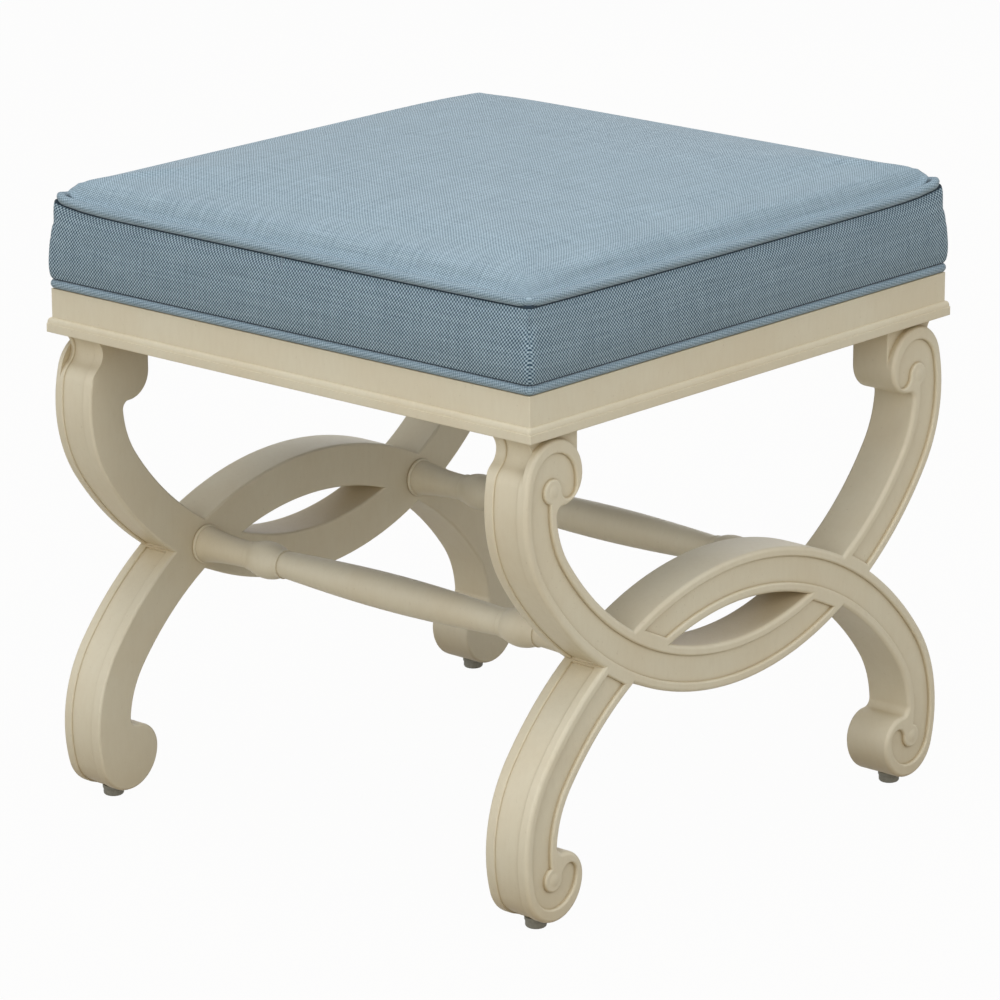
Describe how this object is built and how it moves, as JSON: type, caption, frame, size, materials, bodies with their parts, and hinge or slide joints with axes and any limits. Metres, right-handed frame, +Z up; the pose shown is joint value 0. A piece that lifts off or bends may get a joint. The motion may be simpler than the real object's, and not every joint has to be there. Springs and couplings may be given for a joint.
{
  "type": "vanity stool",
  "caption": "Square vanity stool with a boxed, welted cushion on a painted apron over crossed, scrolled frames joined by turned stretchers.",
  "frame": {"origin": "centre of the footprint, on the floor under the glides", "axes": "+Z up, +X to the right along the crossed frames, +Y from the front frame to the rear one"},
  "size_m": [0.4862, 0.4862, 0.4971],
  "materials": {
    "painted_wood": "antique cream paint, satin, slightly glazed in the recesses",
    "bare_wood": "unfinished",
    "top_cloth": "woven herringbone, matte",
    "boxing_cloth": "woven herringbone, matte",
    "dust_cloth": "thin black cambric",
    "foam": "open foam",
    "steel": "zinc plated",
    "glide_plastic": "grey, matte"
  },
  "bodies": {
    "root": {"front_upper_long_member": "painted_wood", "front_upper_short_member": "painted_wood", "front_lower_long_member": "painted_wood", "front_lower_short_member": "painted_wood", "front_dowel_1": "bare_wood", "front_dowel_2": "bare_wood", "front_dowel_3": "bare_wood", "front_dowel_4": "bare_wood", "rear_upper_long_member": "painted_wood", "rear_upper_short_member": "painted_wood", "rear_lower_long_member": "painted_wood", "rear_lower_short_member": "painted_wood", "rear_dowel_1": "bare_wood", "rear_dowel_2": "bare_wood", "rear_dowel_3": "bare_wood", "rear_dowel_4": "bare_wood", "left_stretcher": "painted_wood", "right_stretcher": "painted_wood", "front_left_glide": "glide_plastic", "front_left_glide_nail": "steel", "front_left_corner_block": "bare_wood", "front_left_leg_bolt": "steel", "front_left_seat_screw": "steel", "front_right_glide": "glide_plastic", "front_right_glide_nail": "steel", "front_right_corner_block": "bare_wood", "front_right_leg_bolt": "steel", "front_right_seat_screw": "steel", "rear_left_glide": "glide_plastic", "rear_left_glide_nail": "steel", "rear_left_corner_block": "bare_wood", "rear_left_leg_bolt": "steel", "rear_left_seat_screw": "steel", "rear_right_glide": "glide_plastic", "rear_right_glide_nail": "steel", "rear_right_corner_block": "bare_wood", "rear_right_leg_bolt": "steel", "rear_right_seat_screw": "steel", "front_apron_rail": "painted_wood", "front_lip_moulding": "painted_wood", "front_boxing": "boxing_cloth", "right_apron_rail": "painted_wood", "right_lip_moulding": "painted_wood", "right_boxing": "boxing_cloth", "rear_apron_rail": "painted_wood", "rear_lip_moulding": "painted_wood", "rear_boxing": "boxing_cloth", "left_apron_rail": "painted_wood", "left_lip_moulding": "painted_wood", "left_boxing": "boxing_cloth", "seat_board": "bare_wood", "dust_cover": "dust_cloth", "seat_foam": "foam", "bottom_welt": "boxing_cloth", "top_welt": "top_cloth", "top_cover": "top_cloth"}
  },
  "joints": []
}
